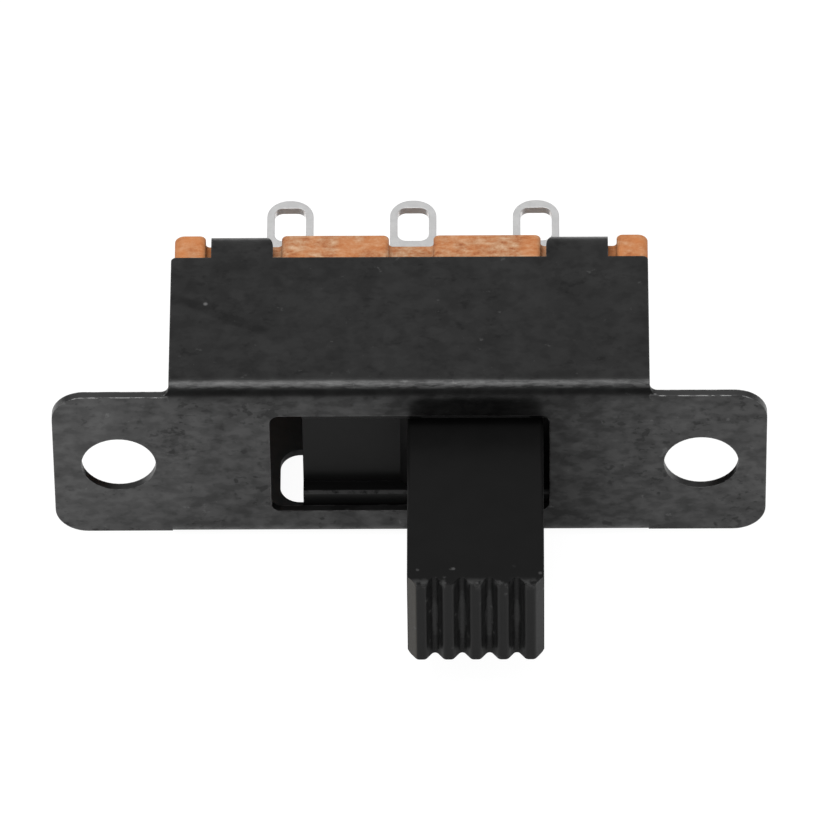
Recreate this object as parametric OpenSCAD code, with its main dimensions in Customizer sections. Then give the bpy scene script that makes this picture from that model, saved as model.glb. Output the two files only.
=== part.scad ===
// Two-position slide switch for panel mounting. A folded steel frame holds a
// phenolic terminal board and a moulded slider with a long ribbed handle.
// +X is the way the slider travels, -Y points out of the panel along the
// handle, and +Z points up. The origin is in the middle of the front face of
// the mounting plate, half way between the two mounting holes. Millimetres.

/* [Steel frame] */
// Thickness of the steel sheet
sheet_t = 0.4; // [0.3:0.05:0.5]
// Outside radius of the folds between the mounting plate and the side walls
fold_r = 0.9; // [0.6:0.05:1.1]
// How much lower the ears are than the channel, at each edge
ear_step = 0.5; // [0.2:0.05:0.6]
// Radius of the four outer corners of the ears
ear_corner_r = 1.6; // [0.8:0.1:2.4]
// Radius where the edge of an ear runs into the fold
ear_root_r = 0.4; // [0.1:0.05:0.5]
// Radius of the back corners of both side walls
wall_corner_r = 0.25; // [0.1:0.05:0.5]
// Distance from an end of the channel to the middle of a mounting hole
hole_inset = 2.55; // [2.35:0.05:3.5]
// Distance from the middle of a mounting hole to the tip of its ear
ear_tip = 3.2; // [2.6:0.1:5]
// Diameter of the mounting holes
mount_hole_d = 3.66; // [3:0.02:4]
// Corner radius of the slot that the handle passes through
slot_corner_r = 0.5; // [0.2:0.1:1]

/* [Wall window and tabs] */
// Distance from the plate's front face to the near edge of the wall window
window_inset = 1.95; // [1.2:0.05:2.5]
// Size of the wall window front to back
window_d = 3.5; // [2.5:0.1:4.5]
// Length of the wall window
window_l = 12.95; // [9:0.05:16]
// Corner radius of the wall window
window_corner_r = 1; // [0.4:0.1:1.2]
// Width of the four tabs that clamp the terminal board
tab_w = 3.05; // [2.4:0.05:3.6]
// Distance from an end of the channel to the middle of a tab
tab_inset = 3.49; // [2.6:0.01:3.8]
// Inside radius of the fold in a tab
tab_fold_r = 0.6; // [0.5:0.05:0.8]
// How far a folded tab reaches in over the board
tab_reach = 1.9; // [1.6:0.1:2.1]
// Radius of the curve that narrows a tab from its inner side, across its fold
tab_crest_r = 1.5; // [1.3:0.1:2]
// How far before the back of the tab that curve starts
tab_crest_l = 1.2; // [0.6:0.1:1.3]
// Radius of a tab's outer corner along the crest of its fold
tab_edge_r = 0.25; // [0.1:0.05:0.5]
// Play between a folded tab and the back of the board
tab_play = 0.05; // [0.02:0.01:0.1]

/* [Terminal board] */
// Thickness of the phenolic board
board_t = 1.45; // [1:0.05:2.2]
// How much shorter the board is than the channel, at each end
board_end_step = 0.08; // [0:0.01:0.2]
// How far the board sits to the right, within the play of its notches
board_shift = 0.08; // [0:0.01:0.2]
// Depth of the notches in the long edges of the board
notch_d = 0.8; // [0.7:0.05:1]
// Gap between a tab and the sides of its notch
tab_notch_gap = 0.35; // [0.1:0.05:0.6]
// Width of the notch in the middle of each long edge
middle_notch_w = 2.2; // [1:0.1:3]
// Radius of the four corners of the board
board_end_r = 0.5; // [0.2:0.05:0.8]
// Radius in the inner corners of the notches
notch_root_r = 0.2; // [0.1:0.05:0.35]
// Radius of the corners at the mouth of each notch
notch_mouth_r = 0.3; // [0.1:0.05:0.4]

/* [Terminals] */
// Distance between neighbouring terminals in a row
terminal_pitch = 6.1; // [5.4:0.1:6.6]
// How far all the terminals sit to the right of the middle of the frame
terminal_shift = 0.15; // [0:0.01:0.2]
// Distance of the contact rivets from the middle of the board
contact_z = 1.5; // [1.4:0.05:1.6]
// Distance of a lug's outer face from the middle of the board
lug_face_z = 3; // [2.9:0.05:3.1]
// Thickness of a solder lug
lug_t = 0.4; // [0.3:0.05:0.5]
// Width of a solder lug
lug_w = 2.3; // [2.2:0.1:2.6]
// How far a solder lug reaches beyond the back of the board
lug_l = 4.6; // [4:0.05:7]
// Corner radius at the tip of a solder lug
lug_tip_r = 1.1; // [0.3:0.05:1.1]
// Inside radius of the fold between a lug and its foot
lug_fold_r = 0.2; // [0.15:0.05:0.3]
// Width of the wire hole in a lug
wire_hole_w = 1.56; // [1:0.02:1.6]
// Length of the wire hole in a lug
wire_hole_l = 2.25; // [1.8:0.05:2.4]
// Corner radius of the wire hole
wire_hole_r = 0.45; // [0.2:0.05:0.5]
// Metal left between the wire hole and the tip of the lug
wire_hole_land = 0.5; // [0.35:0.05:0.7]
// Diameter of a contact rivet's shank
rivet_d = 1.2; // [0.9:0.1:1.4]
// Play of the rivet shank in its holes, on the diameter
rivet_play = 0.1; // [0.05:0.01:0.2]
// Diameter of a contact rivet's head
contact_d = 2.2; // [1.8:0.1:2.4]
// Height of a contact rivet's head
contact_h = 0.45; // [0.3:0.05:0.6]
// Depth of the dish in a contact rivet's head
dish_depth = 0.1; // [0.05:0.01:0.15]
// Diameter of the dish in a contact rivet's head
dish_d = 1.4; // [1:0.1:1.6]
// Gap between the closed head of a rivet and the fold of its lug
closed_head_gap = 0.05; // [0.03:0.01:0.1]
// Height of the closed head
closed_head_h = 0.35; // [0.25:0.05:0.5]

/* [Slider] */
// Distance that the slider travels
travel = 6.45; // [5.65:0.05:6.8]
// Width of the handle along the travel
handle_w = 6.65; // [5.5:0.05:7.5]
// Height of the handle across the travel
handle_h = 5.5; // [5.2:0.1:6]
// How far the handle stands out of the plate
handle_l = 10.4; // [4:0.1:14]
// Radius along the four long edges of the handle
handle_edge_r = 0.2; // [0.1:0.05:0.4]
// Size of the sloping corners where the handle stands on the slider's base
handle_root = 0.4; // [0.2:0.05:0.6]
// Number of ridges on the end of the handle
ridge_count = 5; // [3:1:6]
// Width of the top of each ridge, before its edges are rounded
ridge_flat = 0.42; // [0.36:0.01:0.5]
// Radius on the edges of the ridges
ridge_edge_r = 0.24; // [0.05:0.01:0.25]
// Slope of the grooves' flanks, in degrees from the end face of the handle
groove_slope = 52; // [46:1:56]
// Radius at the root of the grooves
groove_root_r = 0.2; // [0.1:0.02:0.22]
// Gap between the handle and an end of the slot, at the end of the travel
slot_end_gap = 0.3; // [0.2:0.05:0.5]
// Gap between the handle and the long edges of the slot
slot_side_gap = 0.7; // [0.3:0.05:1]
// How far the slider's base reaches past each end of the handle
base_overhang = 5.18; // [4.5:0.02:6]
// Gap between the base and an end of the channel, at the end of the travel
base_end_gap = 0.02; // [0.02:0.02:0.6]
// Depth of the slider's base, front to back
base_d = 7.4; // [6.6:0.1:8.4]
// Running gap between the base and the plate
front_play = 0.1; // [0.05:0.01:0.2]
// Running gap between the base and each side wall
side_play = 0.2; // [0.1:0.05:0.3]
// Radius along the long edges of the base
base_edge_r = 0.4; // [0.25:0.05:0.5]
// Width of each front rail of the base
rail_w = 2; // [1.6:0.05:2.4]
// Depth of the trough between the two front rails of the base
trough_d = 0.75; // [0.4:0.05:1.2]
// How much narrower the trough is than the handle, along each rail
trough_step = 0.12; // [0:0.02:0.3]
// Radius along the edges of the rails beside the trough
rail_edge_r = 0.2; // [0.1:0.05:0.3]

/* [Contacts and springs] */
// Thickness of a contact bridge
bridge_t = 0.25; // [0.2:0.05:0.35]
// Width of a contact bridge
bridge_w = 1.8; // [1.7:0.05:2]
// Straight part across each round end of a bridge
bridge_end_land = 0.1; // [0.04:0.02:0.4]
// How far a contact bridge reaches past the middle of each of its domes
bridge_end = 1.2; // [1:0.05:1.4]
// Height of the domes on a contact bridge
dome_h = 0.55; // [0.4:0.05:0.7]
// Radius of a dome where it leaves the bridge
dome_base_r = 0.75; // [0.6:0.05:0.8]
// Gap between a dome and the face of the contact rivets
contact_gap = 0.1; // [0.05:0.01:0.2]
// Gap between the slider's base and the board
board_gap = 1; // [0.8:0.05:1.3]
// Gap around a bridge in its recess
bridge_play = 0.1; // [0.05:0.01:0.15]
// Depth of the recesses for the bridges
recess_d = 0.6; // [0.4:0.05:0.8]
// Depth of the spring pockets below the recesses
pocket_d = 4.1; // [3:0.1:5]
// Outside diameter of a contact spring
spring_d = 1.9; // [1.6:0.05:2]
// Wire diameter of a contact spring
spring_wire_d = 0.28; // [0.2:0.02:0.32]
// Number of turns in a contact spring
spring_turns = 7; // [5:1:9]
// How strongly the turns crowd together at the ends of a spring
spring_end_crowding = 0.11; // [0.05:0.01:0.14]
// Play of a spring in its pocket, on the diameter
spring_play = 0.3; // [0.2:0.05:0.4]
// Clearance at each end of a spring
spring_end_gap = 0.03; // [0.02:0.01:0.06]
// Diameter of the stud on a bridge that centres its spring
stud_d = 0.9; // [0.6:0.05:1]
// Height of the stud
stud_h = 0.35; // [0.2:0.05:0.5]

/* [Hidden] */

$fn = 64;
// How far a cutter runs past the face that it cuts
over = 1;
// How far pieces of one solid run into each other
bite = 0.2;
// Columns of the terminals and rows of the poles
left = -1;
centre = 0;
right = 1;
upper = 1;
lower = -1;

// The slot and the channel follow the handle, its travel and the base.
base_l = handle_w + 2 * base_overhang;
slot_l = handle_w + travel + 2 * slot_end_gap;
slot_h = handle_h + 2 * slot_side_gap;
channel_l = base_l + travel + 2 * base_end_gap;
base_front = sheet_t + front_play;
base_back = base_front + base_d;
wall_back = base_back + board_gap;

// Height of the channel: the trough, the rails beside it, the play and the walls
base_h = handle_h + 2 * rail_w;
channel_h = base_h + 2 * (side_play + sheet_t);
ear_h = channel_h - 2 * ear_step;
plate_l = channel_l + 2 * (hole_inset + ear_tip);
hole_x = channel_l / 2 + hole_inset;

// The board lies on the back edges of the walls.
board_front = wall_back;
board_back = board_front + board_t;
board_l = channel_l - 2 * board_end_step;
tab_x = channel_l / 2 - tab_inset;
tab_outer_r = tab_fold_r + sheet_t;

// Along the contact stack from the board to the slider
contact_face = board_front - contact_h;
dome_top = contact_face - contact_gap;
bridge_back = dome_top - dome_h;
bridge_front = bridge_back - bridge_t;
recess_floor = base_back - recess_d;
pocket_floor = recess_floor - pocket_d;
dome_r = (dome_base_r ^ 2 + dome_h ^ 2) / (2 * dome_h);

// A lug's fold starts beside the closed head of its rivet.
lug_fold_z = lug_face_z - lug_t - lug_fold_r;
closed_head_d = 2 * (lug_fold_z - contact_z - closed_head_gap);
foot_end_z = contact_z - lug_w / 2;

// The slider is drawn at the right end of its travel.
slider_x = travel / 2;
ridge_pitch = handle_w / ridge_count;
groove_w = ridge_pitch - ridge_flat;
edge_root_r = groove_root_r / 4;

// ---- Drawing helpers ----

// Flat outline in X and Z, given thickness from y0 to y1
module face_on(y0, y1) {
    translate([0, y1, 0]) rotate([90, 0, 0]) linear_extrude(y1 - y0) children();
}

// Flat outline in X and Y, given thickness from z0 to z1
module plan(z0, z1) {
    translate([0, 0, z0]) linear_extrude(z1 - z0) children();
}

// Cross section in Y and Z, drawn out along X and centred on x = 0
module along_x(length) {
    rotate([90, 0, 90]) translate([0, 0, -length / 2]) linear_extrude(length) children();
}

// Rectangle centred on the origin with round corners
module round_rect(w, h, r) {
    square([w - 2 * r, h], center = true);
    square([w, h - 2 * r], center = true);
    for (sx = [-1, 1], sy = [-1, 1])
        translate([sx * (w / 2 - r), sy * (h / 2 - r)]) circle(r);
}

// Copies to the left and to the right
module left_and_right() {
    children();
    mirror([1, 0, 0]) children();
}

// Copies above and below
module above_and_below() {
    children();
    mirror([0, 0, 1]) children();
}

// One quarter of a bend in sheet, seen along X: it turns from the Y direction
// at the top of the circle to the Z direction at its back.
module bend_quarter(inner_r, outer_r) {
    intersection() {
        difference() {
            circle(outer_r);
            circle(inner_r);
        }
        square(outer_r);
    }
}

// ---- Steel frame ----

// Plate, folds and side walls seen along X
module channel_section() {
    difference() {
        union() {
            translate([fold_r, -channel_h / 2]) square([wall_back - fold_r, channel_h]);
            translate([0, -channel_h / 2 + fold_r]) square([wall_back, channel_h - 2 * fold_r]);
            for (s = [-1, 1]) translate([fold_r, s * (channel_h / 2 - fold_r)]) circle(fold_r);
        }
        inner_r = fold_r - sheet_t;
        inner_h = channel_h - 2 * sheet_t;
        translate([fold_r, -inner_h / 2]) square([wall_back - fold_r + over, inner_h]);
        translate([sheet_t, -inner_h / 2 + inner_r])
            square([wall_back - sheet_t + over, inner_h - 2 * inner_r]);
        for (s = [-1, 1]) translate([fold_r, s * (inner_h / 2 - inner_r)]) circle(inner_r);
    }
}

// Both ears with the strip of plate that joins them behind the folds
module ears() {
    face_on(0, sheet_t) {
        difference() {
            round_rect(plate_l, ear_h, ear_corner_r);
            square([channel_l, channel_h], center = true);
        }
        square([channel_l + 2 * bite, channel_h - 2 * fold_r], center = true);
    }
}

// Small web in the corner between an ear's edge and the end of the fold
module ear_root() {
    intersection() {
        face_on(0, sheet_t) translate([channel_l / 2, ear_h / 2]) difference() {
            translate([-bite, -bite]) square(ear_root_r + bite);
            translate([ear_root_r, ear_root_r]) circle(ear_root_r);
        }
        along_x(channel_l + 2 * ear_root_r) channel_section();
    }
}

// Clamping tab: it leaves the wall's back edge, passes through the board's
// notch and folds in over the board. Its inner corner is cut to a wide curve
// that carries on across the fold.
module tab() {
    bend_y = board_back + tab_play - tab_fold_r;
    bend_z = channel_h / 2 - tab_outer_r;
    tab_back = bend_y + tab_outer_r;
    tip_z = channel_h / 2 - tab_reach;
    inner_corner_r = tab_reach * 0.9;
    outer_corner_r = sheet_t;
    translate([tab_x, 0, 0]) intersection() {
        along_x(tab_w) {
            translate([wall_back - bite, channel_h / 2 - sheet_t])
                square([bend_y - wall_back + bite, sheet_t]);
            translate([bend_y, bend_z]) bend_quarter(tab_fold_r, tab_outer_r);
            translate([bend_y + tab_fold_r, tip_z]) square([sheet_t, bend_z - tip_z]);
        }
        face_on(wall_back - over, board_back + over) {
            translate([-tab_w / 2 + inner_corner_r, tip_z])
                square([tab_w - inner_corner_r - outer_corner_r, tab_reach]);
            translate([-tab_w / 2, tip_z + inner_corner_r])
                square([tab_w, tab_reach - inner_corner_r]);
            translate([tab_w / 2 - outer_corner_r * 2, tip_z + outer_corner_r])
                square([outer_corner_r * 2, tab_reach - outer_corner_r]);
            translate([-tab_w / 2 + inner_corner_r, tip_z + inner_corner_r]) circle(inner_corner_r);
            translate([tab_w / 2 - outer_corner_r, tip_z + outer_corner_r]) circle(outer_corner_r);
        }
        plan(tip_z - over, channel_h / 2 + over) {
            translate([-tab_w / 2, wall_back - over])
                square([tab_w, tab_back - tab_crest_l - wall_back + over]);
            translate([-tab_w / 2 + tab_crest_r, wall_back])
                square([tab_w - tab_crest_r - tab_edge_r, tab_back - wall_back + bite]);
            translate([tab_w / 2 - 2 * tab_edge_r, wall_back])
                square([2 * tab_edge_r, tab_back - tab_edge_r - wall_back]);
            translate([tab_w / 2 - tab_edge_r, tab_back - tab_edge_r]) circle(tab_edge_r);
            translate([-tab_w / 2 + tab_crest_r, tab_back - tab_crest_l]) circle(tab_crest_r);
        }
    }
}

module frame() {
    color([0.2, 0.2, 0.2]) difference() {
        union() {
            along_x(channel_l) channel_section();
            ears();
            left_and_right() above_and_below() ear_root();
            left_and_right() above_and_below() tab();
        }
        face_on(-over, sheet_t + over) round_rect(slot_l, slot_h, slot_corner_r);
        for (s = [-1, 1]) translate([s * hole_x, sheet_t + over, 0])
            rotate([90, 0, 0]) cylinder(d = mount_hole_d, h = sheet_t + 2 * over);
        plan(-channel_h / 2 - over, -channel_h / 2 + sheet_t + over)
            translate([0, window_inset + window_d / 2])
                round_rect(window_l, window_d, window_corner_r);
        left_and_right() plan(-channel_h / 2 - over, channel_h / 2 + over)
            translate([channel_l / 2 - wall_corner_r, wall_back - wall_corner_r]) difference() {
                square(wall_corner_r + bite);
                circle(wall_corner_r);
            }
    }
}

// ---- Terminal board ----

// Notch cut into the upper long edge, with round corners at its mouth
module edge_notch(x, w) {
    cut_h = notch_d + over;
    translate([x, channel_h / 2]) {
        translate([0, cut_h / 2 - notch_d]) round_rect(w, cut_h, notch_root_r);
        for (side = [0, 1]) mirror([side, 0]) translate([w / 2, -notch_mouth_r]) difference() {
            translate([-bite, 0]) square([notch_mouth_r + bite, notch_mouth_r + bite]);
            translate([notch_mouth_r, 0]) circle(notch_mouth_r);
        }
    }
}

module terminal_board() {
    tab_notch_w = tab_w + 2 * tab_notch_gap;
    color([0.72, 0.45, 0.28]) difference() {
        translate([board_shift, 0, 0]) face_on(board_front, board_back) difference() {
            round_rect(board_l, channel_h, board_end_r);
            for (flip = [0, 1]) mirror([0, flip]) {
                edge_notch(0, middle_notch_w);
                for (s = [-1, 1]) edge_notch(s * tab_x, tab_notch_w);
            }
        }
        for (column = [left, centre, right], row = [upper, lower])
            at_contact(column, row) rotate([-90, 0, 0])
                translate([0, 0, board_front - over])
                    cylinder(d = rivet_d + rivet_play, h = board_t + 2 * over);
    }
}

// ---- Terminals ----

// Place on the axis of one contact rivet
module at_contact(column, row) {
    translate([terminal_shift + column * terminal_pitch, 0, row * contact_z]) children();
}

// Solder lug of the upper row, middle column: a foot flat on the board, a
// fold, and a blade that stands out behind with a hole for the wire.
module lug_blank() {
    foot_back = board_back + lug_t;
    fold_y = foot_back + lug_fold_r;
    tip_y = board_back + lug_l;
    hole_y = tip_y - wire_hole_land - wire_hole_l / 2;
    difference() {
        intersection() {
            along_x(lug_w) {
                translate([board_back, foot_end_z]) square([lug_t, lug_fold_z - foot_end_z]);
                translate([fold_y, lug_fold_z]) mirror([1, 0])
                    bend_quarter(lug_fold_r, lug_fold_r + lug_t);
                translate([fold_y, lug_face_z - lug_t]) square([tip_y - fold_y, lug_t]);
            }
            // Round corners at the tip of the blade
            plan(foot_end_z - over, lug_face_z + over) {
                translate([0, (board_back + tip_y) / 2])
                    round_rect(lug_w, tip_y - board_back, lug_tip_r);
                translate([-lug_w / 2, board_back]) square([lug_w, lug_tip_r + bite]);
            }
            // Round end of the foot around the rivet
            face_on(board_back - over, tip_y + over) {
                translate([0, contact_z]) circle(lug_w / 2);
                translate([-lug_w / 2, contact_z]) square([lug_w, lug_face_z + over - contact_z]);
            }
        }
        plan(lug_face_z - lug_t - bite, lug_face_z + bite)
            translate([0, hole_y]) round_rect(wire_hole_w, wire_hole_l, wire_hole_r);
        translate([0, board_back - over, contact_z]) rotate([-90, 0, 0])
            cylinder(d = rivet_d + rivet_play, h = lug_t + 2 * over);
    }
}

module lug(column, row) {
    color([0.78, 0.78, 0.77]) translate([terminal_shift + column * terminal_pitch, 0, 0])
        mirror([0, 0, row == lower ? 1 : 0]) lug_blank();
}

// Contact rivet: the dished head inside the housing is the fixed contact, and
// the closed head outside holds the foot of the lug to the board.
module contact_rivet(column, row) {
    head_edge_r = contact_h / 3;
    dish_r = ((dish_d / 2) ^ 2 + dish_depth ^ 2) / (2 * dish_depth);
    cap_r = ((closed_head_d / 2) ^ 2 + closed_head_h ^ 2) / (2 * closed_head_h);
    foot_back = board_back + lug_t;
    color([0.8, 0.68, 0.42]) at_contact(column, row) rotate([-90, 0, 0]) rotate_extrude() {
        // Inner head
        difference() {
            union() {
                translate([0, contact_face + head_edge_r])
                    square([contact_d / 2, contact_h - head_edge_r]);
                translate([0, contact_face]) square([contact_d / 2 - head_edge_r, contact_h]);
                translate([contact_d / 2 - head_edge_r, contact_face + head_edge_r])
                    circle(head_edge_r);
            }
            translate([0, contact_face + dish_depth - dish_r]) circle(dish_r, $fn = 128);
            translate([-contact_d, contact_face - over])
                square([contact_d, contact_h + 2 * over]);
        }
        // Shank through the board and the foot
        translate([0, board_front - bite]) square([rivet_d / 2, board_t + lug_t + 2 * bite]);
        // Closed head
        intersection() {
            translate([0, foot_back + closed_head_h - cap_r]) circle(cap_r, $fn = 128);
            translate([0, foot_back]) square([closed_head_d, closed_head_h]);
        }
    }
}

// ---- Slider ----

// Base of the slider seen along X: two front rails with a trough between
module base_section() {
    trough_h = handle_h - 2 * trough_step;
    difference() {
        translate([(base_front + base_back) / 2, 0]) round_rect(base_d, base_h, base_edge_r);
        translate([base_front - over, -trough_h / 2]) square([trough_d + over, trough_h]);
        for (side = [0, 1]) mirror([0, side]) translate([base_front, trough_h / 2]) difference() {
            translate([-over, -bite]) square([over + rail_edge_r, rail_edge_r + bite]);
            translate([rail_edge_r, rail_edge_r]) circle(rail_edge_r);
        }
    }
}

// Handle outline from the end, drawn out from the tip to the trough
module handle_bar() {
    face_on(-handle_l, base_front + trough_d + bite) round_rect(handle_w, handle_h, handle_edge_r);
}

// Sloping corner where one end of the handle stands in the trough
module handle_corner() {
    floor_y = base_front + trough_d;
    plan(-handle_h / 2 + handle_edge_r, handle_h / 2 - handle_edge_r)
        translate([handle_w / 2, floor_y]) polygon([
            [0, -handle_root], [handle_root, 0], [handle_root, bite], [-bite, bite],
            [-bite, -handle_root]
        ]);
}

// Groove seen along Z, from its mouth at y = 0: two sloping flanks that meet in
// a round root, and a curve at each side of the mouth for the ridges' edges
module groove_outline(root_r) {
    mouth = groove_w / 2;
    edge_step = ridge_edge_r * tan(groove_slope / 2);
    root_y = mouth * tan(groove_slope) - root_r / cos(groove_slope);
    touch_x = root_r * sin(groove_slope);
    touch_y = root_y + root_r * cos(groove_slope);
    polygon([
        [-mouth, -over], [mouth, -over], [mouth, 0],
        [touch_x, touch_y], [-touch_x, touch_y], [-mouth, 0]
    ]);
    translate([0, root_y]) circle(root_r);
    for (side = [0, 1]) mirror([side, 0]) difference() {
        polygon([
            [mouth - bite, -over],
            [mouth + edge_step, -over],
            [mouth + edge_step, 0],
            [mouth - edge_step * cos(groove_slope), edge_step * sin(groove_slope)],
            [mouth - bite, 0]
        ]);
        translate([mouth + edge_step, ridge_edge_r]) circle(ridge_edge_r);
    }
}

// Grooves across the end of the handle; the outer two cut its edges half open
// and run to a sharper root there.
module ridge_grooves() {
    for (i = [0:ridge_count])
        translate([-handle_w / 2 + i * ridge_pitch, -handle_l, 0])
            plan(-handle_h / 2 - over, handle_h / 2 + over)
                groove_outline(i == 0 || i == ridge_count ? edge_root_r : groove_root_r);
}

// Recess for one contact bridge and the spring pocket below it
module bridge_seat() {
    recess_l = terminal_pitch + 2 * (bridge_end + bridge_play);
    recess_w = bridge_w + 2 * bridge_play;
    translate([0, 0, contact_z]) {
        face_on(recess_floor, base_back + over) square([recess_l, recess_w], center = true);
        translate([0, pocket_floor, 0]) rotate([-90, 0, 0])
            cylinder(d = spring_d + spring_play, h = pocket_d + bite);
    }
}

module slider() {
    color([0.1, 0.1, 0.1]) translate([slider_x, 0, 0]) difference() {
        union() {
            along_x(base_l) base_section();
            handle_bar();
            left_and_right() handle_corner();
        }
        ridge_grooves();
        above_and_below() bridge_seat();
    }
}

// ---- Contacts and springs ----

// Bar that joins two neighbouring contact rivets, with two pressed domes
module contact_bridge(row) {
    bar_l = terminal_pitch + 2 * bridge_end;
    bridge_end_r = (bridge_w - bridge_end_land) / 2;
    dome_y = dome_top - dome_r;
    color([0.85, 0.6, 0.35]) translate([slider_x, 0, row * contact_z]) difference() {
        union() {
            face_on(bridge_front, bridge_back) round_rect(bar_l, bridge_w, bridge_end_r);
            for (s = [-1, 1]) translate([s * terminal_pitch / 2, 0, 0]) intersection() {
                translate([0, dome_y, 0]) sphere(dome_r);
                translate([-dome_r, bridge_back - bridge_t / 2, -dome_r])
                    cube([2 * dome_r, dome_h + bridge_t, 2 * dome_r]);
            }
            translate([0, bridge_front - stud_h, 0]) rotate([-90, 0, 0])
                cylinder(d = stud_d, h = stud_h + bridge_t / 2);
        }
        for (s = [-1, 1]) translate([s * terminal_pitch / 2, dome_y, 0])
            sphere(dome_r - bridge_t);
    }
}

// Points of one ring of the spring wire, at t turns along the coil. The end
// turns lie close together, as they do on a coil that is ground flat.
function wire_y(t, length) = let(
    u = t / spring_turns,
    eased = u - spring_end_crowding * sin(360 * u)
) spring_wire_d / 2 + eased * (length - spring_wire_d);
function wire_ring(t, length, sides) = [
    for (k = [0:sides - 1]) let(
        a = 360 * k / sides,
        r = (spring_d - spring_wire_d) / 2 + spring_wire_d / 2 * cos(a)
    ) [r * cos(360 * t), wire_y(t, length) + spring_wire_d / 2 * sin(a), r * sin(360 * t)]
];

module contact_spring(row) {
    length = bridge_front - pocket_floor - 2 * spring_end_gap;
    sides = 8;
    steps = 18 * spring_turns;
    points = [
        for (i = [0:steps]) each wire_ring(i * spring_turns / steps, length, sides)
    ];
    walls = [
        for (i = [0:steps - 1], k = [0:sides - 1]) let(m = (k + 1) % sides) [
            i * sides + k, i * sides + m, (i + 1) * sides + m, (i + 1) * sides + k
        ]
    ];
    ends = [[for (k = [0:sides - 1]) sides - 1 - k], [for (k = [0:sides - 1]) steps * sides + k]];
    color([0.7, 0.7, 0.72]) translate([slider_x, pocket_floor + spring_end_gap, row * contact_z])
        polyhedron(points, concat(walls, ends), convexity = 10);
}

frame();
terminal_board();
lug(left, upper);  // lug_upper_left
lug(centre, upper);  // lug_upper_centre
lug(right, upper);  // lug_upper_right
lug(left, lower);  // lug_lower_left
lug(centre, lower);  // lug_lower_centre
lug(right, lower);  // lug_lower_right
contact_rivet(left, upper);  // rivet_upper_left
contact_rivet(centre, upper);  // rivet_upper_centre
contact_rivet(right, upper);  // rivet_upper_right
contact_rivet(left, lower);  // rivet_lower_left
contact_rivet(centre, lower);  // rivet_lower_centre
contact_rivet(right, lower);  // rivet_lower_right
slider();
contact_bridge(upper);  // bridge_upper
contact_bridge(lower);  // bridge_lower
contact_spring(upper);  // spring_upper
contact_spring(lower);  // spring_lower
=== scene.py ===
"""A two-position slide switch: a folded black steel frame, a phenolic board with six solder lugs, and a
black moulded slider with a long ribbed handle. Lengths are in metres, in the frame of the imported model:
+X is the way the slider travels, -Y points out of the panel, and the switch lies on its lower wall."""

import math

import bpy
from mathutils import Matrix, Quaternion, Vector


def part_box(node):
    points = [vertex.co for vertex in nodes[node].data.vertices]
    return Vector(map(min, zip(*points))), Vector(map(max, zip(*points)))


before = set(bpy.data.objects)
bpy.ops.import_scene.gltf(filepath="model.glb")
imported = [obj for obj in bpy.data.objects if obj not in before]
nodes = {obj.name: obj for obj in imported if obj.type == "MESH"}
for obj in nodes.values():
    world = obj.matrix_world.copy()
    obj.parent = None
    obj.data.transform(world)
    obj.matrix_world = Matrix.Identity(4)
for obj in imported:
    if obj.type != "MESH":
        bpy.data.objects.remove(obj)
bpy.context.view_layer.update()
mm = 0.001


# ---- Camera ----
# A long lens looks down on the front of the switch from a little to its right, and is held very
# slightly tilted. It aims just above the middle of the mounting plate.

view_height = math.radians(47.5)
view_side = math.radians(0.7)
view_roll = math.radians(0.74)
view_distance = 583 * mm
view_width = 40.65 * mm
view_shift = Vector((0.2 * mm, 2.435 * mm, 0))  # across and up the view

towards_camera = Vector((
    math.sin(view_side) * math.cos(view_height),
    -math.cos(view_side) * math.cos(view_height),
    math.sin(view_height),
))
camera = bpy.data.objects.new("camera", bpy.data.cameras.new("camera"))
bpy.context.scene.collection.objects.link(camera)
bpy.context.scene.camera = camera
turn = (-towards_camera).to_track_quat("-Z", "Y") @ Quaternion((0, 0, 1), -view_roll)
camera.rotation_mode = "QUATERNION"
camera.rotation_quaternion = turn
camera.location = turn @ view_shift + towards_camera * view_distance
camera.data.sensor_width = 36
camera.data.lens = camera.data.sensor_width * view_distance / view_width
camera.data.clip_start = 0.01
camera.data.clip_end = 5


# ---- Steel frame ----
# One piece of steel sheet, punched and folded into a channel with two ears, with a thin black finish. The
# finish is blotchy and pitted, scuffed near the left ear, duller in a diagonal streak on the upper wall,
# and chipped in broken pale dashes along its edges, most on the ears' top edges. Painted light: a broken
# highlight along the folds, partly wear; pale highlights on the cut edges at the channel's ends and round
# the ears;
# inner faces painted lighter and bluer; and the front's shine raised and lowered for the floor's light and
# shade.


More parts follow.
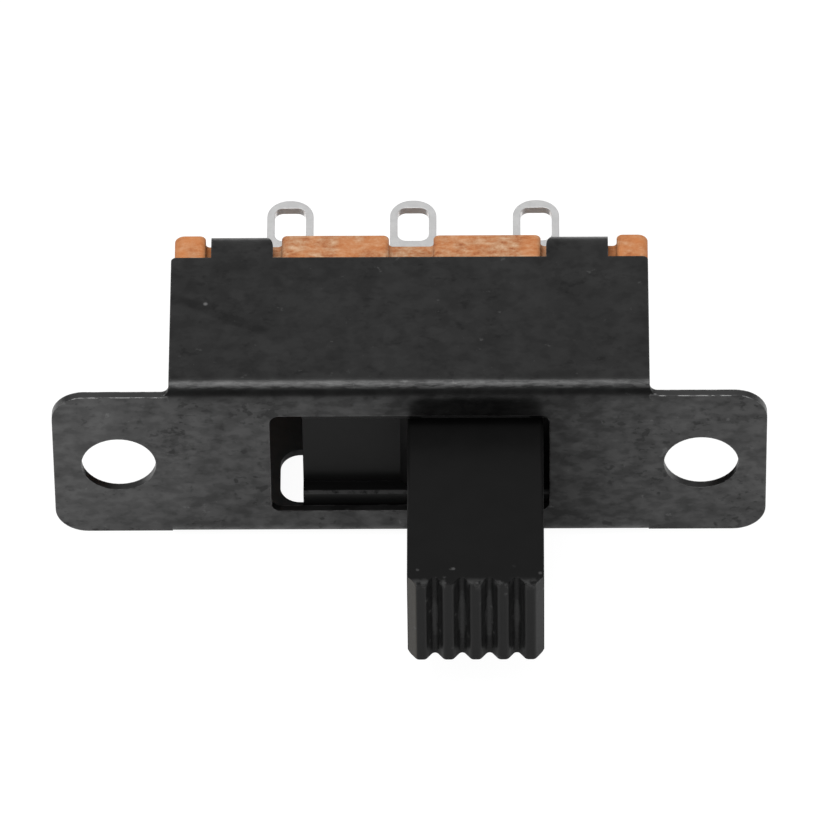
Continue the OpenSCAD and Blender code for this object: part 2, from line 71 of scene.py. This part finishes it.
class Shade:
    """The output of one shader node. Arithmetic on it adds Math nodes."""

    def __init__(self, tree, socket):
        self.tree, self.socket = tree, socket

    def node(self, kind, sockets=(), out=0, stops=None, **settings):
        """A new node with these settings, and these values or links on its sockets."""
        made = self.tree.nodes.new(kind)
        for key, value in settings.items():
            setattr(made, key, value)
        if stops:
            ramp = made.color_ramp
            while len(ramp.elements) < len(stops):
                ramp.elements.new(1.0)
            for element, (place, colour) in zip(ramp.elements, stops):
                element.position = place
                element.color = (*colour, 1)
        for key, value in dict(sockets).items():
            if isinstance(value, Shade):
                self.tree.links.new(value.socket, made.inputs[key])
            else:
                made.inputs[key].default_value = value
        return Shade(self.tree, made.outputs[out])

    def math(self, operation, a, b):
        """A Math node on two values."""
        return self.node("ShaderNodeMath", {0: a, 1: b}, operation=operation)

    def __add__(self, other):
        return self.math("ADD", self, other)

    def __radd__(self, other):
        return self.math("ADD", other, self)

    def __sub__(self, other):
        return self.math("SUBTRACT", self, other)

    def __rsub__(self, other):
        return self.math("SUBTRACT", other, self)

    def __mul__(self, other):
        return self.math("MULTIPLY", self, other)

    def __rmul__(self, other):
        return self.math("MULTIPLY", other, self)

    def stretch(self, x, y, z, away=0.0):
        """This place, drawn out along the axes, and moved away to another part of the pattern."""
        return self.node("ShaderNodeVectorMath", {0: self, 1: (x, y, z), 2: (away, away, away)},
                         operation="MULTIPLY_ADD")

    def noise(self, scale, detail=4.0, roughness=0.55):
        """Cloudy values around 0.5, so many to the millimetre."""
        return self.node("ShaderNodeTexNoise",
                         {"Vector": self, "Scale": scale, "Detail": detail, "Roughness": roughness})

    def size(self):
        """This value without its sign."""
        return self.node("ShaderNodeMath", {0: self}, operation="ABSOLUTE")

    def along(self, axis):
        """One coordinate of this place."""
        return self.node("ShaderNodeSeparateXYZ", {0: self}, out=axis)

    def dot(self, other):
        """How far this direction agrees with another: 1 for the same, -1 for the opposite."""
        return self.node("ShaderNodeVectorMath", {0: self, 1: other}, out=1, operation="DOT_PRODUCT")

    def between(self, low, high):
        """0 where this value is below low, 1 where it is above high. With low above high, the reverse."""
        return self.node("ShaderNodeMapRange", {0: self, 1: low, 2: high, 3: 0.0, 4: 1.0},
                         interpolation_type="SMOOTHSTEP")

    def mix(self, first, second):
        """The first colour where this value is 0, the second where it is 1."""
        return self.node("ShaderNodeMix", {0: self, 6: first, 7: second}, out=2, data_type="RGBA")


def grey(value):
    return (value, value, value, 1)


def layered(colour, *layers):
    """This colour with others laid over it in turn, each where its mask is 1."""
    for mask, over in layers:
        colour = mask.mix(colour, over)
    return colour


def new_material(name, **constants):
    """A material with its Principled shader, and the place on the piece in millimetres."""
    material = bpy.data.materials.new(name)
    material.use_nodes = True
    shader = material.node_tree.nodes["Principled BSDF"]
    for key, value in constants.items():
        shader.inputs[key.replace("_", " ")].default_value = value
    place = Shade(material.node_tree, None).node("ShaderNodeTexCoord", out=3)
    return material, shader, place.stretch(1 / mm, 1 / mm, 1 / mm)


def join(shader, **links):
    """Links shades to the Principled shader's sockets."""
    for key, shade in links.items():
        shade.tree.links.new(shade.socket, shader.inputs[key.replace("_", " ")])


def eased(place, radius):
    """The surface normal with the sharp edges eased by a small radius in millimetres."""
    return place.node("ShaderNodeBevel", {"Radius": radius * mm}, samples=8)


def relief(normal, height, depth):
    """This surface normal with a height on it, in millimetres."""
    return normal.node("ShaderNodeBump",
                       {"Height": height, "Distance": depth * mm, "Strength": 1.0, "Normal": normal})


def facing(place, x, y, z):
    """How squarely the surface faces this way: 1 for straight on, -1 for straight away."""
    return place.node("ShaderNodeNewGeometry", out=1).dot((x, y, z))


def bent(place, normal):
    """How far an eased normal is turned away from the flat surface: 0 on flats, more along edges."""
    return 1 - place.node("ShaderNodeNewGeometry", out=1).dot(normal)


def specks(place, per_mm, share, size):
    """Small round specks: 1 inside, 0 between them. Share is the part of the cells that holds one."""
    cell = place.node("ShaderNodeTexVoronoi", {"Vector": place, "Scale": per_mm, "Randomness": 1.0})
    pick = place.node("ShaderNodeTexVoronoi", {"Vector": place, "Scale": per_mm, "Randomness": 1.0}, out=1)
    chosen = place.node("ShaderNodeSeparateColor", {0: pick}).between(1 - share, 1 - share * 0.9)
    return chosen * (1 - cell.between(size * 0.5, size))


def paint(name, material):
    """Gives a CAD node its material."""
    slots = nodes[name].data.materials
    slots.clear()
    slots.append(material)


# Places on the frame, in millimetres. The ears begin at the channel's ends.
channel_end = 11.75
ear_top_z = 4.85
wall_top_z = 5.35
scuff_x, scuff_z = -11.5, 1.3
scuff_core, scuff_reach = 0.55, 1.79
streak_x, streak_y = -9.1, 4.95
streak_slope = math.radians(27.45)

steel, shader, place = new_material("black_steel", Specular_IOR_Level=0.36, IOR=1.5, Coat_Roughness=0.33)
x, y, z = (place.along(axis) for axis in "XYZ")
upward = facing(place, 0, 0, 1)
front = facing(place, 0, -1, 0).between(0.85, 0.97)
soft_edge = eased(place, 0.1)
edge = bent(place, soft_edge).between(0.02, 0.12)

# How light the finish is: slow clouds, blotches and small patches.
clouds = place.noise(0.35, 2.0, 0.5)
blotches = place.stretch(0.75, 0.75, 0.9).noise(1.1, 2.0, 0.5)
patches = place.stretch(0.65, 0.8, 1.05, 31).noise(2.2, 2.0, 0.5)
grain = place.noise(9.0, 2.0, 0.5)
tone = clouds.between(0.35, 0.65) * 0.25
tone = tone + blotches.between(0.36, 0.64) * 0.4 + patches.between(0.40, 0.60) * 0.35

# Pits, thickest where the finish took badly and at the scuff, and crumbs and dust on top.
aside, above = x - scuff_x, z - scuff_z
scuff = (aside * aside + above * above).between(scuff_reach ** 2, scuff_core ** 2)
flecks = place.stretch(0.8, 1.2, 1.1, 55).noise(3.2, 2.0, 0.5) + scuff * 0.12
troubled = place.stretch(1, 1, 1, 12).noise(0.45, 1.0, 0.4).between(0.46, 0.60)
pits = place.stretch(1, 1.3, 0.9, 40).noise(1.7, 2.0, 0.5).between(0.57, 0.69)
pits = (pits + flecks.between(0.58, 0.65) * 0.5) * (troubled * 0.75 + scuff * 0.5 + 0.25)
crumbs = place.stretch(1, 1.2, 1.0, 17).noise(1.5, 4.0, 0.6).between(0.66, 0.73)
dust = specks(place, 0.6, 0.04, 0.11)

# Wear in broken dashes on the edges, most on the ears' top edges, and a duller streak across the upper
# wall.
# Painted highlights: a broken one along the fold, partly wear, and pale ones on the cut edges at the
# channel's ends and round the ears.
beads = place.stretch(0.6, 2.4, 2.4).noise(2.4, 4.0, 0.65)
fold = facing(place, 0, -0.5, 0.866).between(0.94, 0.995)
# A painted highlight along the fold, broken and partly wear.
fold_wear_and_highlight = facing(place, 0, -0.48, 0.877).between(0.955, 0.998) * beads.between(0.42, 0.58)
ear = x.size().between(channel_end + 0.15, channel_end + 0.35) * y.between(0.6, 0.5)
ear_top = ear * z.between(ear_top_z - 0.25, ear_top_z - 0.05)
# A painted highlight on the cut edges at the channel's ends and round the ears.
rim_highlight = edge * x.size().between(channel_end - 0.25, channel_end - 0.05)
chipped = edge * beads.between(0.46, 0.54) * (ear_top * 0.85 + 0.15)
# A duller diagonal streak across the upper wall: less shine along a line.
across = (x - streak_x) * math.sin(streak_slope) + (y - streak_y) * math.cos(streak_slope)
streak = across.size().between(0.45, 0.1) * upward.between(0.9, 1.0) * x.between(-5.8, -7.4)

# How much the finish shines: more on the front towards the ears and the left, less high up on it. This is
# a
# painted reflection: the floor's light, brighter to the left, and the floor's shade round the handle and
# under the fold.
painted_reflection = x.size().between(9.0, 13.5) * 0.55 + x.between(12.0, -14.0) * 0.45
coat = 0.24 + tone * (0.40 + front * 0.36) + crumbs * 0.4 - pits * (0.25 + front * 0.45)
coat = coat + front * (painted_reflection * 0.50 - z.between(2.6, 4.4) * 0.11 - 0.32) - streak * 0.3

# The inner faces of the walls are painted lighter and slightly blue, for light inside the channel and to
# hide the board's brown reflection in them; the whole surface is slightly uneven.
lightened_inner_face = (z * facing(place, 0, 0, -1)).between(wall_top_z - 1.35, wall_top_z - 0.85)
waviness = blotches * 0.6 + patches * 0.4 + grain * 0.04 - pits * 0.2 + beads * fold * 1.2
join(
    shader,
    Base_Color=layered(
        tone.mix(grey(0.0025), grey(0.0075)),
        # Inner faces painted lighter and bluer, for the light inside and against the board's reflection.
        (lightened_inner_face, (0.028, 0.032, 0.034, 1)),
        (crumbs * 0.6, grey(0.035)),
        # Painted highlight along the fold, partly wear.
        (fold_wear_and_highlight * 0.6, grey(0.062)),
        (ear_top * upward.between(0.5, 0.9), grey(0.022)),
        # Painted highlight on the cut edges at the channel's ends and round the ears.
        (rim_highlight * 0.6, grey(0.05)),
        (chipped, grey(0.38)),
        (dust, grey(0.12)),
    ),
    Coat_Weight=coat,
    Roughness=0.38 - tone * 0.04 + grain * 0.03,
    Normal=relief(soft_edge, waviness, 0.02),
)
paint("frame", steel)


# ---- Terminal board ----
# A punched piece of paper phenolic, orange-brown and layered. Its faces are smooth and pressed, and its
# punched edges are rough and fibrous, with paler streaks along the layers.

phenolic, shader, place = new_material("phenolic")
fibre = place.stretch(0.9, 2.2, 1.4).noise(1.5, 5.0, 0.65)
crumbs = place.noise(3.0, 4.0, 0.7)
ends = place.along("X").size().between(7.0, 9.5)
soaked = place.noise(0.55, 2.0, 0.5).between(0.42, 0.62) * 0.45 + ends * 0.3
raw_edge = fibre.node("ShaderNodeValToRGB", {0: fibre * 0.6 + crumbs * 0.4}, stops=[
    (0.34, (0.22, 0.056, 0.015)),
    (0.44, (0.39, 0.145, 0.05)),
    (0.53, (0.45, 0.230, 0.115)),
    (0.64, (0.57, 0.37, 0.23)),
])
pressed = place.noise(0.9, 4.0, 0.5).between(0.35, 0.65)
pressed_face = layered(
    pressed.mix((0.27, 0.088, 0.028, 1), (0.37, 0.15, 0.055, 1)),
    (crumbs.between(0.56, 0.70), (0.44, 0.21, 0.09, 1)),
)
on_face = facing(place, 0, 1, 0).size().between(0.8, 0.9)
join(
    shader,
    Base_Color=layered(raw_edge, (soaked, (0.54, 0.185, 0.05, 1)), (on_face, pressed_face)),
    Roughness=0.75 - on_face * 0.35 + crumbs * 0.1,
    Normal=relief(eased(place, 0.04), fibre * 0.7 + crumbs * 0.5, 0.05),
)
paint("terminal_board", phenolic)


# ---- Solder lugs ----
# Stamped from tinned strip: a flat foot, a fold and a blade with a hole for the wire. The tin is bright
# but a little dull and wavy. The punched faces towards the front are duller, and painted darker grey for
# the shade on them and to hide the board's brown reflection.

tinned, shader, place = new_material("tinned_strip", Metallic=1.0)
waves = place.noise(2.0, 4.0, 0.6)
scuffs = place.stretch(1, 0.35, 1).noise(9.0, 3.0, 0.6)
# Punched faces towards the front: duller, and painted darker grey for their shade.
punched = facing(place, 0, -1, 0).between(0.5, 0.8)
join(
    shader,
    Base_Color=punched.mix(waves.between(0.35, 0.7).mix(grey(0.92), grey(0.99)), grey(0.42)),
    Metallic=1 - punched * 0.75,
    Roughness=0.46 + scuffs * 0.12,
    Normal=relief(eased(place, 0.05), waves * 0.8 + scuffs * 0.2, 0.008),
)
rows = ("upper", "lower")
columns = ("left", "centre", "right")
for row in rows:
    for column in columns:
        paint(f"lug_{row}_{column}", tinned)


# ---- Contact rivets ----
# Turned brass rivets. The dished head inside the housing is the fixed contact; the closed head outside
# holds the foot of the lug to the board.

brass, shader, place = new_material("rivet_brass", Metallic=1.0)
tarnish = place.noise(2.4, 4.0, 0.6)
join(
    shader,
    Base_Color=tarnish.mix((0.62, 0.46, 0.22, 1), (0.78, 0.62, 0.34, 1)),
    Roughness=0.3 + tarnish * 0.2,
    Normal=relief(eased(place, 0.03), tarnish, 0.01),
)
for row in rows:
    for column in columns:
        paint(f"rivet_{row}_{column}", brass)


# ---- Slider ----
# One moulding in black nylon: a base that runs between the walls, and a long handle with five ridges
# across its end. It is smooth and satin, with dust, grime and light scratches. Painted light: pale
# highlights on the top edges of its end, partly wear; a warm sheen on the left outer flank where light
# from the left falls; and a pale reflection of the floor in the grooves between the ridges.

# Places on the slider at the right end of its travel, in millimetres.
handle_x = 3.225
handle_end = -10.4
handle_top = 2.75

nylon, shader, place = new_material("black_nylon", Specular_IOR_Level=0.158)
x, y, z = (place.along(axis) for axis in "XYZ")
soft_edge = eased(place, 0.05)
swell = place.noise(0.7, 3.0, 0.5)
rough = place.stretch(1, 1, 1, 8).noise(2.2, 4.0, 0.65)
scratches = place.stretch(4.0, 0.4, 1.2).noise(6.0, 3.0, 0.6)
lint = specks(place, 0.9, 0.16, 0.10) * y.between(0.0, -0.4)

# Grime from handling, and painted light: a warm sheen on the left outer flank where light from the left
# falls, and highlights on the top edges of the end, partly wear.
grip = y.between(handle_end + 1.4, handle_end + 0.8)
grime = specks(place, 1.7, 0.6, 0.22) * grip * rough.between(0.40, 0.55)
# A warm sheen painted on the left outer flank, where light from the left falls.
left_flank_light = facing(place, -0.79, -0.61, 0).between(0.9, 0.96) * (handle_x - x).between(2.625, 2.825) * grip
# Painted highlights on the top edges of the end, broken and rougher, and partly wear.
lip_wear_and_highlight = facing(place, 0, -0.707, 0.707).between(0.80, 0.95) * rough.between(0.36, 0.56)
ridge_wear_and_highlight = z.between(handle_top - 0.5, handle_top - 0.05) * y.between(handle_end + 0.5, handle_end + 0.1)
ridge_wear_and_highlight = ridge_wear_and_highlight * rough.between(0.44, 0.60)
edge_wear_and_highlights = lip_wear_and_highlight + ridge_wear_and_highlight

# A painted reflection of the floor in each groove's root: a pale oval, widest half way up it and wider in
# the middle grooves.
from_middle = (x - handle_x).size()
groove = y.between(handle_end + 0.15, handle_end + 0.4) * from_middle.between(2.7, 2.6)
groove = groove * facing(place, 0, -1, 0).between(0.4, 0.6)
belly = 1 - z.size() * 0.4
reflection_reach = y + belly * 0.21 - from_middle * 0.04 + rough * 0.22 + swell * 0.08
groove_reflection = reflection_reach.between(handle_end + 0.61, handle_end + 0.68) * groove

unevenness = swell * 0.6 + scratches * 0.1 + rough * (edge_wear_and_highlights + groove * 2.5)
join(
    shader,
    Base_Color=layered(
        swell.mix(grey(0.0042), grey(0.0065)),
        # Painted highlights on the top edges of the end, partly wear.
        (lip_wear_and_highlight * 0.6, grey(0.06)),
        (ridge_wear_and_highlight * 0.6, grey(0.06)),
        # Painted reflection of the floor in the grooves.
        (groove_reflection * 0.75, grey(0.028)),
        # Painted light from the left on the left outer flank.
        (left_flank_light * 0.75, (0.042, 0.038, 0.031, 1)),
        (grime * 0.75, grey(0.055)),
        (lint, grey(0.055)),
    ),
    Roughness=0.3 + scratches.between(0.4, 0.8) * 0.12 + swell * 0.06 + edge_wear_and_highlights * 0.2 + groove * 0.15,
    Normal=relief(soft_edge, unevenness, 0.02),
)
paint("slider", nylon)


# ---- Contact bridges ----
# Pressed from phosphor bronze strip, with two domes that join neighbouring rivets, and a stud that
# centres the spring behind.

bronze, shader, place = new_material("bridge_bronze", Metallic=1.0)
rolled = place.stretch(0.2, 1.0, 3.0).noise(6.0, 4.0, 0.6)
join(
    shader,
    Base_Color=rolled.mix((0.62, 0.33, 0.17, 1), (0.76, 0.46, 0.26, 1)),
    Roughness=0.26 + rolled * 0.14,
    Normal=relief(eased(place, 0.03), rolled, 0.005),
)
for row in rows:
    paint(f"bridge_{row}", bronze)


# ---- Contact springs ----
# Small coils of spring wire in pockets of the slider's base. Each presses its bridge onto the rivets.

wire, shader, place = new_material("spring_wire", Metallic=1.0)
drawn = place.noise(8.0, 3.0, 0.6)
join(
    shader,
    Base_Color=drawn.mix(grey(0.45), grey(0.6)),
    Roughness=0.25 + drawn * 0.15,
    Normal=relief(eased(place, 0.01), drawn, 0.004),
)
for row in rows:
    paint(f"spring_{row}", wire)


# ---- Floor, lights and surroundings ----
# A plain white table under one soft lamp. The surroundings are white too, but glossy faces mirror them
# dimly, and most dimly towards the front. The floor keeps the shadow of the switch.

resting_height = min(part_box(name)[0][2] for name in nodes)
floor_half = 2.0


def ray_kinds(start):
    """Three values that are 1 for rays from the camera, off gloss and through glass."""
    kinds = ("Camera", "Glossy", "Transmission")
    return [start.node("ShaderNodeLightPath", out=f"Is {kind} Ray") for kind in kinds]


corners = ((-1, -1), (1, -1), (1, 1), (-1, 1))
floor_mesh = bpy.data.meshes.new("floor")
floor_mesh.from_pydata(
    [(floor_half * right, floor_half * back, resting_height) for right, back in corners],
    [], [(0, 1, 2, 3)])
floor = bpy.data.objects.new("floor", floor_mesh)
bpy.context.scene.collection.objects.link(floor)
table = bpy.data.materials.new("white_table")
table.use_nodes = True
tree = table.node_tree
tree.nodes.clear()
start = Shade(tree, None)
camera_ray, gloss_ray, glass_ray = ray_kinds(start)
seen = start.math("MINIMUM", camera_ray + glass_ray, 1.0) * 0.85 + gloss_ray * 0.15
cloth = start.node("ShaderNodeBsdfDiffuse", {"Color": grey(0.8)})
glow = start.node("ShaderNodeEmission", {"Color": grey(1.0), "Strength": 1.12})
surface = start.node("ShaderNodeMixShader", {0: seen, 1: cloth, 2: glow})
output = tree.nodes.new("ShaderNodeOutputMaterial")
tree.links.new(surface.socket, output.inputs["Surface"])
floor_mesh.materials.append(table)

lamp_place = Vector((-0.06, -0.03, 0.34))
lamp = bpy.data.lights.new("lamp_above", "AREA")
lamp.size = 0.175
lamp.energy = 0.56
lamp_above = bpy.data.objects.new("lamp_above", lamp)
lamp_above.location = lamp_place
lamp_above.rotation_mode = "QUATERNION"
lamp_above.rotation_quaternion = (-lamp_place).to_track_quat("-Z", "Y")
bpy.context.scene.collection.objects.link(lamp_above)

world = bpy.data.worlds.new("studio")
bpy.context.scene.world = world
world.use_nodes = True
tree = world.node_tree
tree.nodes.clear()
start = Shade(tree, None)
camera_ray, gloss_ray, glass_ray = ray_kinds(start)
mirrored = start.node("ShaderNodeTexCoord").along("Y").between(-0.6, 0.5) * 0.36 + 0.03
shown = (camera_ray + glass_ray) * 0.2 + 0.8
strength = start.node("ShaderNodeMix", {0: gloss_ray, 2: shown, 3: mirrored})
air = start.node("ShaderNodeBackground", {"Color": grey(1.0), "Strength": strength})
output = tree.nodes.new("ShaderNodeOutputWorld")
tree.links.new(air.socket, output.inputs["Surface"])

bpy.context.scene.view_settings.view_transform = "Standard"
